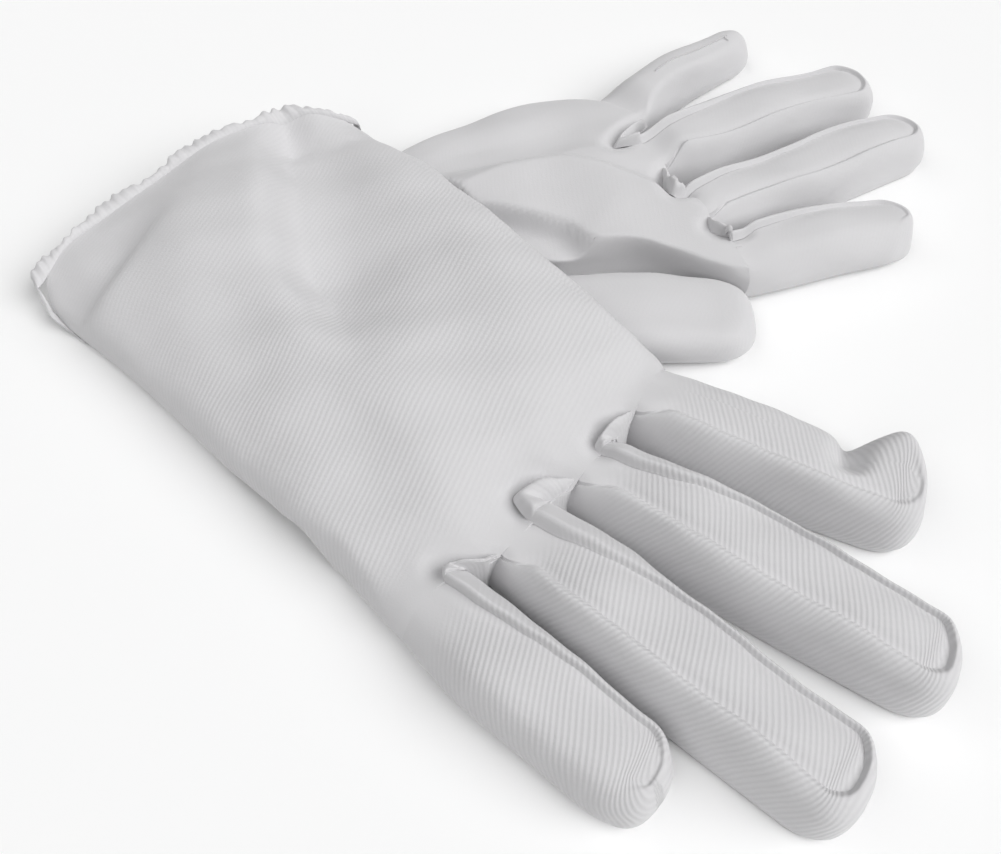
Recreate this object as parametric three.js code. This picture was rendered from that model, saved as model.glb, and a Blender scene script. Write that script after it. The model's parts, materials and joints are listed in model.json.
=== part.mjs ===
import * as THREE from 'three';

// A pair of thin white stretch-knit dress gloves lying flat, backs up. The left glove lies on
// the surface and the right glove crosses over its wrist, with its thumb tucked under its palm.
// Millimetres, +Z up, +X to the right and +Y away from the viewer.

// Cloth and seams
const clothWall = 0.8;
const seamGap = 0.35;
const sideInset = 3.2;
const gloveGap = 0.35;
const baseGap = 0.4;

// Hand of each glove
const handLength = 116;
const cuffHalfWidth = 43;
const handPuff = 12;
const stackRise = 9;
const pressedHeight = 7;
const hemWidth = 4;
const hemWall = 1.6;
const hemWave = 0.6;
const hemWaveStep = 1.3;
const riseHeight = 30;
const rampLength = 8;
const rampMargin = 4.5;
const quirkLength = 5;
const quirkWidth = 2.8;

// Fingers and thumb
const rightFingerLengths = { little: 54, ring: 78, middle: 79.5, index: 61.5 };
const rightFingerWidths = { little: 19.5, ring: 22.4, middle: 20.5, index: 20.5 };
const rightFingerHeight = 14.5;
const leftFingerLengths = { little: 53, ring: 73.5, middle: 76.5, index: 49.5 };
const leftFingerWidths = { little: 15, ring: 19.5, middle: 18, index: 17.5 };
const leftFingerHeight = 12;
const fingerCrown = 1.2;
const tipRadius = 10;
const thumbLength = 52;
const thumbWidth = 25;
const thumbHeight = 11;
const tuckedThumbHeight = 4.4;
const tuckedThumbSwing = 16;
const thumbTipRadius = 13;

// Where the second glove lies from the first, and how each is turned, in degrees
const rightTurn = -46;
const leftTurn = 30;
const rightPlace = { x: 9, y: -24 };
const leftPlace = { x: 45.5, y: 73 };

// Each digit: place of its base across and along the hand, its turn and its sideways bend in degrees
const rightBaseShares = {
  little: { across: -0.735, along: 0.015, turn: 2.5, bend: 2 },
  ring: { across: -0.22, along: 0.03, turn: 4, bend: 1.2 },
  middle: { across: 0.295, along: 0.025, turn: 9.6, bend: 2 },
  index: { across: 0.8, along: -0.012, turn: 17, bend: 2.6 },
  thumb: { across: 0.52, along: -0.5, turn: -22, bend: 0 },
};
const leftBaseShares = {
  little: { across: -0.733, along: 0.043, turn: -18, bend: 7 },
  ring: { across: -0.244, along: 0.009, turn: -1, bend: 4.5 },
  middle: { across: 0.319, along: -0.03, turn: 1.5, bend: 0.5 },
  index: { across: 0.728, along: -0.026, turn: 9, bend: 4.4 },
  thumb: { across: 0.48, along: -0.455, turn: 30, bend: 0 },
};

// Outlines of each hand from the hem towards the knuckles, across and along, and its hem line
const rightLittleSideShares = [[-1.12, -1.12], [-1.03, -0.8], [-1, -0.53], [-0.975, -0.26]];
const rightThumbSideShares = [[1.02, -0.97], [1.05, -0.73], [1.06, -0.48], [1.03, -0.23]];
const rightHemShares = [[-0.8, -1.15], [-0.4, -1.16], [0.05, -1.15], [0.5, -1.1], [0.8, -1.05]];
const leftLittleSideShares = [[-1, -1], [-1.1, -0.7], [-1.19, -0.4], [-1.16, -0.12]];
const leftThumbSideShares = [[1, -1], [0.96, -0.8], [0.9, -0.62], [0.08, -0.49], [0.23, -0.35], [0.46, -0.19]];
const rightQuirkShares = [1, 1, 1];
const leftQuirkShares = [1, 1, 0.5];
const leftHemShares = [[-0.5, -1.02], [0, -1.02], [0.5, -1.02]];
const thumbOpeningShares = [2 / 6, 3 / 6];

// Height of each back above its palm, rows from hem to knuckles, columns from little side to thumb side
const rightPuffShares = [
  [0.35, 0.7, 0.9, 1, 1.05, 1.05, 0.75],
  [0.55, 0.9, 1.1, 1.1, 1.05, 1.05, 0.8],
  [0.65, 0.9, 1, 0.95, 0.85, 0.95, 0.85],
  [0.7, 0.95, 1.05, 1, 0.9, 0.95, 0.85],
  [0.8, 1, 1.1, 1.1, 1.05, 1, 0.85],
  [0.95, 1.1, 1.1, 1.12, 1.12, 1.1, 0.95],
];
const rightRiseShares = [
  [0, 0.1, 0.25, 0.45, 0.7, 0.8, 0.8],
  [0, 0.45, 0.95, 1.15, 1.2, 1.2, 1.1],
  [0, 0.45, 1, 1.2, 1.3, 1.3, 1.1],
  [0, 0.45, 1, 1.2, 1.3, 1.25, 1.1],
  [0, 0.25, 0.7, 0.9, 1, 1, 0.95],
  [0, 0, 0, 0, 0.05, 0.15, 0.25],
];
const leftPuffShares = [
  [0.5, 0.55, 0.55, 0.55, 0.55, 0.55, 0.5],
  [0.5, 0.55, 0.6, 0.6, 0.6, 0.6, 0.5],
  [0.6, 0.75, 0.8, 0.9, 1.1, 1.3, 0.9],
  [0.6, 0.8, 0.8, 0.9, 1.4, 1.75, 1.2],
  [0.65, 0.85, 0.8, 1, 1.5, 1.8, 1.3],
  [0.75, 0.9, 0.95, 1, 1.2, 1.2, 1],
];

// Side wall from its top seam to its bottom seam: inset, height and the two parts of the wall's direction
const wallProfileShares = [[1, 1, 0, 1], [0.3, 0.82, 0.7, 0.7], [0, 0.5, 1, 0], [0.3, 0.18, 0.7, -0.7], [1, 0, 0, -1]];
const spineShares = [0, 0.25, 0.5, 0.75, 1];
const inFingerShares = [0, 0.25, 0.5, 0.75];
const capShares = [0.4, 0.7, 0.9, 0.985];
const rowShares = [0, 0.1, 0.2, 0.3, 0.4, 0.5, 0.6, 0.7, 0.8, 0.9, 1];
const fineRowShares = [0, ...rowShares.slice(1).flatMap((t, k) => [(t + rowShares[k]) / 2, t])];
const taperShare = 0.08;
const neckShare = 0.14;
const leftLittleNeckShare = -0.25;
const neckLengthShare = 0.3;
const tipHeightShare = 0.78;
const capPower = 2.4;

const outlineShares = [0, 0.1, 0.2, 0.3, 0.4, 0.5, 0.6, 0.7, 0.8, 0.9];
const hemShares = [0.06, 0.12, 0.19, 0.26, 0.33, 0.4, 0.47, 0.54, 0.61, 0.68, 0.75, 0.82, 0.88, 0.94];
const hemSideShares = [[0.985, 0.85, 0.7, 0.7], [1, 0.5, 1, 0], [0.985, 0.15, 0.7, -0.7]];
const quirkShares = [[0, 0.7], [0.35, 1], [0.7, 0.9], [1, 0.5]];
const quirkHeightShares = [[0.1, 0.8], [0.5, 1], [0.9, 1], [1.08, 0.7]];
const rightShares = {
  littleSide: rightLittleSideShares,
  thumbSide: rightThumbSideShares,
  hem: rightHemShares,
  quirks: rightQuirkShares,
};
const leftShares = {
  littleSide: leftLittleSideShares,
  thumbSide: leftThumbSideShares,
  hem: leftHemShares,
  quirks: leftQuirkShares,
};
const rightFingers = {
  lengths: rightFingerLengths,
  widths: rightFingerWidths,
  height: rightFingerHeight,
  bases: rightBaseShares,
  necks: {},
};
const leftFingers = {
  lengths: leftFingerLengths,
  widths: leftFingerWidths,
  height: leftFingerHeight,
  bases: leftBaseShares,
  necks: { little: leftLittleNeckShare },
};
const quirkNames = ['little_quirk', 'ring_quirk', 'middle_quirk'];
const fingerNames = ['little', 'ring', 'middle', 'index'];
const white = { color: 0xd2d1d3, roughness: 0.85, metalness: 0 };
const group = new THREE.Group();

// Joins an outer and an inner grid of points into one closed body and adds it under its name
function addSheet(name, outer, inner, closed = false) {
  const rows = outer.length;
  const columns = outer[0].length;
  const positions = [...outer.flat(), ...inner.flat()].flatMap((p) => [p.x, p.y, p.z]);
  const at = (layer, i, j) => layer * rows * columns + (i % rows) * columns + j;
  const index = [];
  const quad = (a, b, c, d) => index.push(a, b, c, a, c, d);
  const spans = closed ? rows : rows - 1;
  for (let i = 0; i < spans; i += 1) {
    for (let j = 0; j < columns - 1; j += 1) {
      quad(at(0, i, j), at(0, i + 1, j), at(0, i + 1, j + 1), at(0, i, j + 1));
      quad(at(1, i, j), at(1, i, j + 1), at(1, i + 1, j + 1), at(1, i + 1, j));
    }
    quad(at(0, i, 0), at(1, i, 0), at(1, i + 1, 0), at(0, i + 1, 0));
    quad(at(0, i + 1, columns - 1), at(1, i + 1, columns - 1), at(1, i, columns - 1), at(0, i, columns - 1));
  }
  for (let j = 0; j < columns - 1 && !closed; j += 1) {
    quad(at(0, 0, j + 1), at(1, 0, j + 1), at(1, 0, j), at(0, 0, j));
    quad(at(0, rows - 1, j), at(1, rows - 1, j), at(1, rows - 1, j + 1), at(0, rows - 1, j + 1));
  }
  const geometry = new THREE.BufferGeometry();
  geometry.setAttribute('position', new THREE.Float32BufferAttribute(positions, 3));
  geometry.setIndex(volume(positions, index) < 0 ? index.reverse() : index);
  geometry.computeVertexNormals();
  const mesh = new THREE.Mesh(geometry, new THREE.MeshStandardMaterial(white));
  mesh.name = name;
  group.add(mesh);
}

function volume(positions, index) {
  const point = (k) => new THREE.Vector3().fromArray(positions, 3 * k);
  let sum = 0;
  for (let k = 0; k < index.length; k += 3) {
    sum += point(index[k]).dot(point(index[k + 1]).cross(point(index[k + 2])));
  }
  return sum;
}

// Smooth value of a table at two places between 0 and 1
function smoothTable(table, along, across) {
  const column = table.map((row) => smoothRow(row, across));
  return smoothRow(column, along);
}

function smoothRow(row, place) {
  const last = row.length - 1;
  const x = Math.min(Math.max(place, 0), 1) * last;
  const i = Math.min(Math.floor(x), last - 1);
  const pick = (k) => row[Math.min(Math.max(k, 0), last)];
  return THREE.MathUtils.lerp(pick(i), pick(i + 1), x - i) + bow(pick, i, x - i);
}

function bow(pick, i, f) {
  const start = pick(i + 1) - pick(i - 1) - 2 * (pick(i + 1) - pick(i));
  const end = pick(i + 2) - pick(i) - 2 * (pick(i + 1) - pick(i));
  return 0.5 * (start * f * (1 - f) * (1 - f) - end * f * f * (1 - f));
}

// Plan places of one glove: its own across and along measures become X and Y
function makePlan(turn, offset, side) {
  const angle = THREE.MathUtils.degToRad(turn);
  const along = new THREE.Vector2(Math.cos(angle), Math.sin(angle));
  const across = new THREE.Vector2(-Math.sin(angle), Math.cos(angle)).multiplyScalar(side);
  const middle = new THREE.Vector2(offset.x, offset.y);
  const toPlan = (u, v) => middle.clone().addScaledVector(across, u).addScaledVector(along, v);
  return { turn, side, toPlan, ceiling: () => Infinity };
}

// One finger or thumb: its spine, its outline at any inset and its height
function makeDigit(glove, share, size) {
  const base = glove.toPlan(share.across * cuffHalfWidth, share.along * handLength);
  const heading = (degrees) => THREE.MathUtils.degToRad(glove.turn + glove.side * degrees);
  const spine = (s) => {
    const middle = heading(share.turn + (share.bend * s) / size.length);
    return base.clone().add(new THREE.Vector2(Math.cos(middle), Math.sin(middle)).multiplyScalar(s));
  };
  const sideways = (s) => {
    const angle = heading(share.turn + (2 * share.bend * s) / size.length);
    return new THREE.Vector2(-Math.sin(angle), Math.cos(angle)).multiplyScalar(glove.side);
  };
  const straight = size.length - size.tip;
  const halfWidth = (s, inset) => {
    const q = Math.max(s - straight, 0) / (size.tip - inset);
    const cap = Math.pow(Math.max(1 - Math.pow(q, capPower), 0), 1 / capPower);
    const neck = Math.max(1 - s / (neckLengthShare * size.length), 0);
    const taper = 1 - taperShare * (s / size.length) ** 2 - size.neck * neck * neck;
    return ((size.width / 2) * taper - inset) * cap;
  };
  const point = (s, side, inset, z) => {
    const plan = spine(s).addScaledVector(sideways(s), side * halfWidth(s, inset));
    return new THREE.Vector3(plan.x, plan.y, z);
  };
  const stations = (inset) => [
    ...spineShares.map((place) => THREE.MathUtils.lerp(0, straight, place)),
    ...capShares.map((place) => straight + place * (size.tip - inset)),
  ];
  const top = (s, side, inset, crown) => {
    const place = point(s, side, inset, 0);
    const z = size.height * THREE.MathUtils.lerp(1, tipHeightShare, (s / size.length) ** 2) + crown;
    return Math.min(size.bottom + z, glove.ceiling(new THREE.Vector2(place.x, place.y)));
  };
  return { base, heading, point, stations, top, size, share };
}

function addDigit(name, digit) {
  addDigitPanel(`${name}_back`, digit, true);
  addDigitPanel(`${name}_palm`, digit, false);
  addFourchette(`${name}_fourchette`, digit);
}

// The long panel over or under a finger, inside the seams
function addDigitPanel(name, digit, isBack) {
  const inset = sideInset + seamGap;
  const columnShares = isBack ? [-1, -0.5, 0, 0.5, 1] : [-1, 1];
  const grid = (drop) => digit.stations(inset).map((s) => columnShares.map((side) => {
    const crown = digit.size.crown * (1 - side * side);
    const z = isBack ? digit.top(s, side, inset, crown) - drop : digit.size.bottom + drop;
    return digit.point(s, side, inset, z);
  }));
  addSheet(name, grid(0), grid(clothWall));
}

// The strip along both sides of a finger and round its tip
function addFourchette(name, digit) {
  const grid = (wall) => {
    const ring = (side) => digit.stations(0).map((unused, k) => wallProfileShares.map((profile) => {
      const inset = profile[0] * sideInset + profile[2] * wall;
      const s = digit.stations(inset)[k];
      const z = THREE.MathUtils.lerp(digit.size.bottom, digit.top(s, side, sideInset, 0), profile[1]);
      return digit.point(s, side, inset, z - profile[3] * wall);
    }));
    const tip = wallProfileShares.map((profile) => {
      const inset = profile[0] * sideInset + profile[2] * wall;
      const s = digit.size.length - inset;
      const z = THREE.MathUtils.lerp(digit.size.bottom, digit.top(s, 0, 0, 0), profile[1]);
      return digit.point(s, 0, inset, z - profile[3] * wall);
    });
    return [...ring(-1), tip, ...ring(1).reverse()];
  };
  addSheet(name, grid(0), grid(clothWall));
}

// The hand between hem, side seams and knuckles: across and along run from 0 to 1
function makeHand(glove, shares, digits, heights) {
  const places = (list) => list.map((place) => glove.toPlan(place[0] * cuffHalfWidth, place[1] * handLength));
  const corners = fingerNames.flatMap((name) => [-1, 1].map((side) => {
    const place = digits[name].point(0, side, 0, 0);
    const angle = digits[name].heading(digits[name].share.turn);
    return new THREE.Vector2(place.x - baseGap * Math.cos(angle), place.y - baseGap * Math.sin(angle));
  }));
  const last = corners.length - 1;
  const little = new THREE.SplineCurve([...places(shares.littleSide), corners[0]]);
  const thumb = new THREE.SplineCurve([...places(shares.thumbSide), corners[last]]);
  const hemEnds = [shares.littleSide[0], ...shares.hem, shares.thumbSide[0]];
  const hem = new THREE.SplineCurve(places(hemEnds));
  const knots = corners.map((unused, k) => corners.slice(0, k).reduce(
    (sum, corner, i) => sum + corner.distanceTo(corners[i + 1]),
    0,
  ));
  const knotShares = knots.map((knot) => knot / knots[last]);
  const knuckles = (c) => {
    const i = Math.max(knotShares.findIndex((knot) => knot >= c) - 1, 0);
    return corners[i].clone().lerp(corners[i + 1], (c - knotShares[i]) / (knotShares[i + 1] - knotShares[i]));
  };
  const plan = (c, t) => {
    const across = little.getPoint(t).lerp(thumb.getPoint(t), c);
    const along = hem.getPoint(c).lerp(knuckles(c), t);
    const lower = hem.getPoint(0).lerp(hem.getPoint(1), c);
    const upper = corners[0].clone().lerp(corners[last], c);
    return across.add(along).sub(lower.lerp(upper, t));
  };
  const width = (t) => little.getPoint(t).distanceTo(thumb.getPoint(t));
  const columns = knotShares.flatMap((knot, k) => {
    const next = knotShares[k + 1] ?? knot;
    return k % 2 === 0 ? inFingerShares.map((share) => THREE.MathUtils.lerp(knot, next, share)) : [knot];
  });
  const outward = glove.toPlan(0, 0).sub(glove.toPlan(0, 1)).normalize();
  return { plan, width, columns, corners, outward, ...heights };
}

// A point of the hand's top or bottom, a length in from the little side or the thumb side
function handPoint(hand, c, t, lift) {
  const place = hand.plan(c, t);
  const low = hand.bottom(place, c, t);
  return new THREE.Vector3(place.x, place.y, lift(low, hand.top(place, c, t)));
}

function addHandPanel(name, hand, isBack) {
  const grid = (drop) => fineRowShares.map((t) => {
    const edge = (sideInset + seamGap) / hand.width(t);
    return hand.columns.map((share) => {
      const c = THREE.MathUtils.clamp(share, edge, 1 - edge);
      return handPoint(hand, c, t, (low, high) => (isBack ? high - drop : low + drop));
    });
  });
  addSheet(name, grid(0), grid(clothWall));
}

// The rolled wall down one side of the hand, between two places along it
function addHandSide(name, hand, isThumbSide, places) {
  const grid = (wall) => places.map((t) => wallProfileShares.map((profile) => {
    const inset = (profile[0] * sideInset + profile[2] * wall) / hand.width(t);
    const c = isThumbSide ? 1 - inset : inset;
    const z = (low, high) => THREE.MathUtils.lerp(low, high, profile[1]) - profile[3] * wall;
    return handPoint(hand, c, t, z);
  }));
  addSheet(name, grid(0), grid(clothWall));
}

// The overlocked edge round the cuff's mouth
function addHem(name, hand, waveHeight) {
  const across = hand.plan(1, 0).sub(hand.plan(0, 0)).normalize();
  const grid = (wall) => hemLoop().map(([c, rise, sideways, upward], k) => {
    const place = hand.plan(c, 0);
    const wave = waveHeight * (1 + Math.sin(k * hemWaveStep));
    const z = THREE.MathUtils.lerp(hand.bottom(place, c, 0), hand.top(place, c, 0), rise);
    return [seamGap, seamGap + hemWidth].map((length) => {
      const plan = place.clone().addScaledVector(hand.outward, length);
      plan.addScaledVector(across, -sideways * wall);
      return new THREE.Vector3(plan.x, plan.y, z + wave * Math.abs(upward) - upward * wall);
    });
  });
  addSheet(name, grid(0), grid(hemWall), true);
}

function hemLoop() {
  const top = hemShares.map((c) => [c, 1, 0, 1]);
  const bottom = hemShares.map((c) => [1 - c, 0, 0, -1]);
  return [...top, ...hemSideShares, ...bottom, ...hemSideShares.map(([c, rise, side, up]) => [
    1 - c, 1 - rise, -side, -up,
  ])];
}

// The puckered gusset in a crotch between two fingers
function addQuirk(name, hand, k, heading, fullness, height) {
  const [near, far] = [hand.corners[2 * k + 1], hand.corners[2 * k + 2]];
  const along = new THREE.Vector2(Math.cos(heading), Math.sin(heading));
  const across = new THREE.Vector2(-along.y, along.x);
  const crotch = far.clone().sub(near);
  const slope = Math.abs(crotch.dot(along) / crotch.dot(across));
  const skew = (slope * fullness * quirkWidth) / 2;
  const start = near.clone().lerp(far, 0.5).addScaledVector(along, skew);
  const grid = (side) => quirkShares.map(([reach, width]) => quirkHeightShares.map(([rise, narrow]) => {
    const plan = start.clone().addScaledVector(along, seamGap + reach * quirkLength);
    plan.addScaledVector(across, (side * width * narrow * fullness * quirkWidth) / 2);
    return new THREE.Vector3(plan.x, plan.y, rise * height);
  }));
  addSheet(name, grid(1), grid(-1));
}

// How far a place lies outside an outline, negative inside it
function outsideBy(outline, place) {
  let isInside = false;
  let nearest = Infinity;
  outline.forEach((end, k) => {
    const start = outline[(k + outline.length - 1) % outline.length];
    const edge = end.clone().sub(start);
    const reach = place.clone().sub(start);
    const share = THREE.MathUtils.clamp(reach.dot(edge) / edge.lengthSq(), 0, 1);
    nearest = Math.min(nearest, reach.distanceTo(edge.clone().multiplyScalar(share)));
    const crosses = (start.y > place.y) !== (end.y > place.y);
    if (crosses && place.x < start.x + (edge.x * (place.y - start.y)) / edge.y) isInside = !isInside;
  });
  return isInside ? -nearest : nearest;
}

function fade(distance) {
  return 1 - THREE.MathUtils.smoothstep(distance, rampMargin, rampMargin + rampLength);
}

function digitOutline(digit, swing = 0) {
  const angle = THREE.MathUtils.degToRad(swing);
  const ring = (side) => digit.stations(0).map((s) => digit.point(s, side, 0, 0));
  return [...ring(-1), ...ring(1).reverse()].map((point) => (
    new THREE.Vector2(point.x, point.y).rotateAround(digit.base, angle)
  ));
}

function handOutline(hand) {
  const edge = (c) => outlineShares.map((t) => hand.plan(c, t));
  const mouth = outlineShares.map((c) => hand.plan(c, 0)).concat([hand.plan(1, 0)]);
  const hem = mouth.map((place) => place.addScaledVector(hand.outward, hemWidth + seamGap));
  return [...edge(0), ...hand.corners, ...edge(1).reverse(), ...hem.reverse()];
}

function makeDigits(glove, fingers, thumbSize) {
  const digits = {};
  fingerNames.forEach((name) => {
    const size = { length: fingers.lengths[name], width: fingers.widths[name], height: fingers.height };
    const shape = { tip: tipRadius, crown: fingerCrown, bottom: 0, neck: fingers.necks[name] ?? neckShare };
    digits[name] = makeDigit(glove, fingers.bases[name], { ...size, ...shape });
  });
  const thumb = { length: thumbLength, width: thumbWidth, tip: thumbTipRadius, crown: 0, neck: neckShare };
  digits.thumb = makeDigit(glove, fingers.bases.thumb, { ...thumb, ...thumbSize });
  return digits;
}

function addGlove(prefix, hand, digits, shares, thumbSides, waveHeight) {
  addHandPanel(`${prefix}_hand_back`, hand, true);
  addHandPanel(`${prefix}_hand_palm`, hand, false);
  addHandSide(`${prefix}_little_side`, hand, false, fineRowShares);
  thumbSides.forEach(([name, places]) => addHandSide(`${prefix}_${name}`, hand, true, places));
  addHem(`${prefix}_cuff_hem`, hand, waveHeight);
  quirkNames.forEach((name, k) => {
    const turns = [fingerNames[k], fingerNames[k + 1]].map((finger) => digits[finger].share.turn);
    const heading = digits.thumb.heading((turns[0] + turns[1]) / 2);
    addQuirk(`${prefix}_${name}`, hand, k, heading, shares.quirks[k], digits.ring.size.height);
  });
  Object.keys(digits).forEach((name) => addDigit(`${prefix}_${name}`, digits[name]));
}

// The left glove lies flat, pressed thin where the right glove crosses it
const left = makePlan(leftTurn, leftPlace, -1);
const right = makePlan(rightTurn, rightPlace, 1);
left.ceiling = (place) => pressedHeight + riseHeight * (1 - fade(outsideBy(rightFootprint, place)));
const leftDigits = makeDigits(left, leftFingers, { height: thumbHeight, bottom: 0 });
const layer = pressedHeight + gloveGap;
const rightDigits = makeDigits(right, rightFingers, { height: tuckedThumbHeight, bottom: layer });
const leftHand = makeHand(left, leftShares, leftDigits, {
  bottom: () => 0,
  top: (place, c, t) => Math.min(handPuff * smoothTable(leftPuffShares, t, c), left.ceiling(place)),
});

// The right palm rises over the left glove and over its own tucked thumb
const rightBottom = (place) => {
  const rest = Math.min(...leftFootprints.map((outline) => outsideBy(outline, place)));
  const tucked = Math.min(...thumbFootprints.map((outline) => outsideBy(outline, place)));
  return Math.max(layer * fade(rest), (layer + tuckedThumbHeight + gloveGap) * fade(tucked));
};
const rightHand = makeHand(right, rightShares, rightDigits, {
  bottom: rightBottom,
  top: (place, c, t) => handPuff * smoothTable(rightPuffShares, t, c) + stackRise * smoothTable(rightRiseShares, t, c),
});
const rightFootprint = handOutline(rightHand);
const leftFootprints = [handOutline(leftHand), digitOutline(leftDigits.thumb)];
const thumbFootprints = [0, tuckedThumbSwing / 2, tuckedThumbSwing].map((swing) => (
  digitOutline(rightDigits.thumb, -swing)
));

const wristRows = fineRowShares.filter((t) => t < thumbOpeningShares[0]);
const webRows = fineRowShares.filter((t) => t > thumbOpeningShares[1]);
addGlove('left', leftHand, leftDigits, leftShares, [
  ['wrist_side', [...wristRows, thumbOpeningShares[0]]],
  ['web_side', [thumbOpeningShares[1], ...webRows]],
], 0);
addGlove('right', rightHand, rightDigits, rightShares, [['index_side', fineRowShares]], hemWave);

// Stand the pair on its lowest face, with the origin under the middle
const box = new THREE.Box3().setFromObject(group);
const middle = box.getCenter(new THREE.Vector3());
group.position.set(-middle.x, -middle.y, -box.min.z);

export default group;
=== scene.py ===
"""A pair of thin white stretch-knit dress gloves lying one across the other, backs up.

Every piece of cloth is a grid of points in millimetres that piece() turns into a mesh in
metres. The shapes of the hands and digits follow the part's source, so each cloth lies where
its CAD solid lies, and wrinkle() adds the folds and dents of the photographed pair to them all.
"""
import json
from math import cos, radians, sin

import bpy
import numpy as np
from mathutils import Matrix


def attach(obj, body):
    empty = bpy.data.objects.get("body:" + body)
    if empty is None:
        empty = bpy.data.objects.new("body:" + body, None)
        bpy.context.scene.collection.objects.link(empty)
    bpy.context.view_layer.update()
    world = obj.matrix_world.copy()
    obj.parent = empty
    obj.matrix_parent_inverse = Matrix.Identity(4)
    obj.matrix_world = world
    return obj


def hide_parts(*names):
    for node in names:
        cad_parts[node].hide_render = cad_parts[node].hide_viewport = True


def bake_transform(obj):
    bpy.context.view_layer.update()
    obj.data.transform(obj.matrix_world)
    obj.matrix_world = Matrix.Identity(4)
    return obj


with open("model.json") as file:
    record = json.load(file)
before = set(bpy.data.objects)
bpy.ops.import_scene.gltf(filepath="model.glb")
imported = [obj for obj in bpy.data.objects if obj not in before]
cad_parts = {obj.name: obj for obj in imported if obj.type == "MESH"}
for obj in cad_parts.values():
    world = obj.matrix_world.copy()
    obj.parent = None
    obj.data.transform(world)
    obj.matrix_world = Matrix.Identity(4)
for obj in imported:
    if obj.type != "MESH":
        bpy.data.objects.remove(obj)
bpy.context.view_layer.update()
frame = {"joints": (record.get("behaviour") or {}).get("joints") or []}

# Cloth and seams, in millimetres
CLOTH = 0.5
SEAM_DEPTH = {"right": 0.55, "left": 0.25}
SEAM_REACH = 1.6
SIDE_INSET = 3.2
ROLL_INSET = 7.5
CRISP_INSET = 1.5
OVERLAP = 0.25
OVERLAP_DROP = 0.03
GLOVE_GAP = 0.35
BASE_GAP = 0.4
LOWEST = 0.05
PALM_RISE = 0.1
NO_SEAM = 9

# The least flat side that a sheet may be declared with, in metres, and its least share of area
LEAST_FLAT = 0.0101
LEAST_AREA_SHARE = 0.31

# Where the gloves lie: turn in degrees, place and the side that the thumb is on
LEFT_PLACE = (30, (45.5, 73), -1)
RIGHT_PLACE = (-46, (9, -24), 1)

# Hands
HAND_LENGTH = 116
CUFF_HALF_WIDTH = 43
HAND_PUFF = 12
STACK_RISE = 9
PRESSED_HEIGHT = 7
RISE_HEIGHT = 30
RAMP_LENGTH = 8
RAMP_MARGIN = 4.5
EDGE_SWELL = 2.8
PRESSED_MARGIN = 1.2
PRESSED_RAMP = 4
TUCK_DENT = 2.4
TUCK_MARGIN = 4.5
TUCK_RISE = 3.2
CORNER_CUT = 0.14
MOUTH_MARGIN = 0.35
HEM_WIDTH = 4
HEM_WALL = 1.6
HEM_RIPPLE = 1
HEM_SLANT = 0.8
HEM_CORNER = 0.1

# How far the ribs turn from the hand's length, in degrees, and how strongly they show
RIB_TURN = 20
FINGER_BACK_TURN = 28
FINGER_WALL_TURN = 25
HEM_RIBS = 0.4
DIGIT_RIBS = 0.8
QUIRK_RIBS = 0.3
LEFT_RIB_SHARE = 0.12

# Digits
RIGHT_LENGTHS = {"little": 54, "ring": 78, "middle": 79.5, "index": 61.5}
RIGHT_WIDTHS = {"little": 19.5, "ring": 22.4, "middle": 20.5, "index": 20.5}
LEFT_LENGTHS = {"little": 53, "ring": 73.5, "middle": 76.5, "index": 49.5}
LEFT_WIDTHS = {"little": 15, "ring": 19.5, "middle": 18, "index": 17.5}
RIGHT_FINGER_HEIGHT = 14.5
LEFT_FINGER_HEIGHT = 12
FINGER_CROWN = 1.4
TIP_RADIUS = 10
THUMB_LENGTH = 52
THUMB_WIDTH = 25
THUMB_HEIGHT = 11
TUCKED_THUMB_HEIGHT = 4.4
THUMB_ROOM = 1.3
TUCKED_THUMB_SWING = 16
THUMB_TIP_RADIUS = 13
TIP_INSET = 4.2
FAR_INSET = 2.4
NEAR_INSET = {"right": 6.5, "left": 5}
NECK_INSET = 2.5
NECK_DROP = 2.2
KNUCKLE_REACH = {"right": 24, "left": 9}
CROTCH_REACH = 8
BAND_REACH = 36
TAPER_SHARE = 0.08
NECK_SHARE = 0.14
LEFT_LITTLE_NECK_SHARE = -0.25
NECK_LENGTH_SHARE = 0.3
TIP_HEIGHT_SHARE = 0.78
CAP_POWER = 2.6

# The lip that stands up beside a finger's upper seam: heights, reach along, place down and width
LIP_HEIGHT = 0.3
FAR_LIP = 1.6
TIP_LIP = 0.4
LIP_REACH = 26
LIP_PLACE = 0.22
LIP_WIDTH = 0.13
WALL_DROP = 14

# How far apart the points of a cloth lie, and how many points it has across
HAND_STEP = 1.2
DIGIT_STEP = 1.1
OUTLINE_STEP = 8
PANEL_COLUMNS = 23
WALL_COLUMNS = 25
ROLL_COLUMNS = 21
HEM_ROWS = 420
HEM_COLUMNS = 13
QUIRK_COLUMNS = 25
CAP_ROWS = 16

# Walls from their upper seam to their foot: share of the inset outwards, share of the height
SLOPED_WALL = [
    (0, 1), (0.1, 1), (0.24, 1.02), (0.44, 0.97), (0.68, 0.82), (0.89, 0.56), (1, 0.28), (0.9, 0),
]
STEEP_WALL = [
    (0, 1), (0.12, 1), (0.35, 1.03), (0.62, 0.99), (0.88, 0.82), (1, 0.5), (1, 0.2), (0.78, 0),
]
END_WALL = [
    (0, 1), (0.1, 1), (0.24, 1.03), (0.44, 0.98), (0.72, 0.79), (0.93, 0.5), (1, 0.2), (0.86, 0),
]
ROLLED_WALL = [
    (0, 1), (0.3, 0.995), (0.6, 0.93), (0.86, 0.74), (1, 0.44), (0.95, 0.2), (0.75, 0.04), (0.45, 0),
]
CRISP_WALL = [(0, 1), (0.7, 0.97), (1, 0.84), (0.95, 0.55), (0.85, 0.3), (0.7, 0.08), (0.5, 0)]

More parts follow.
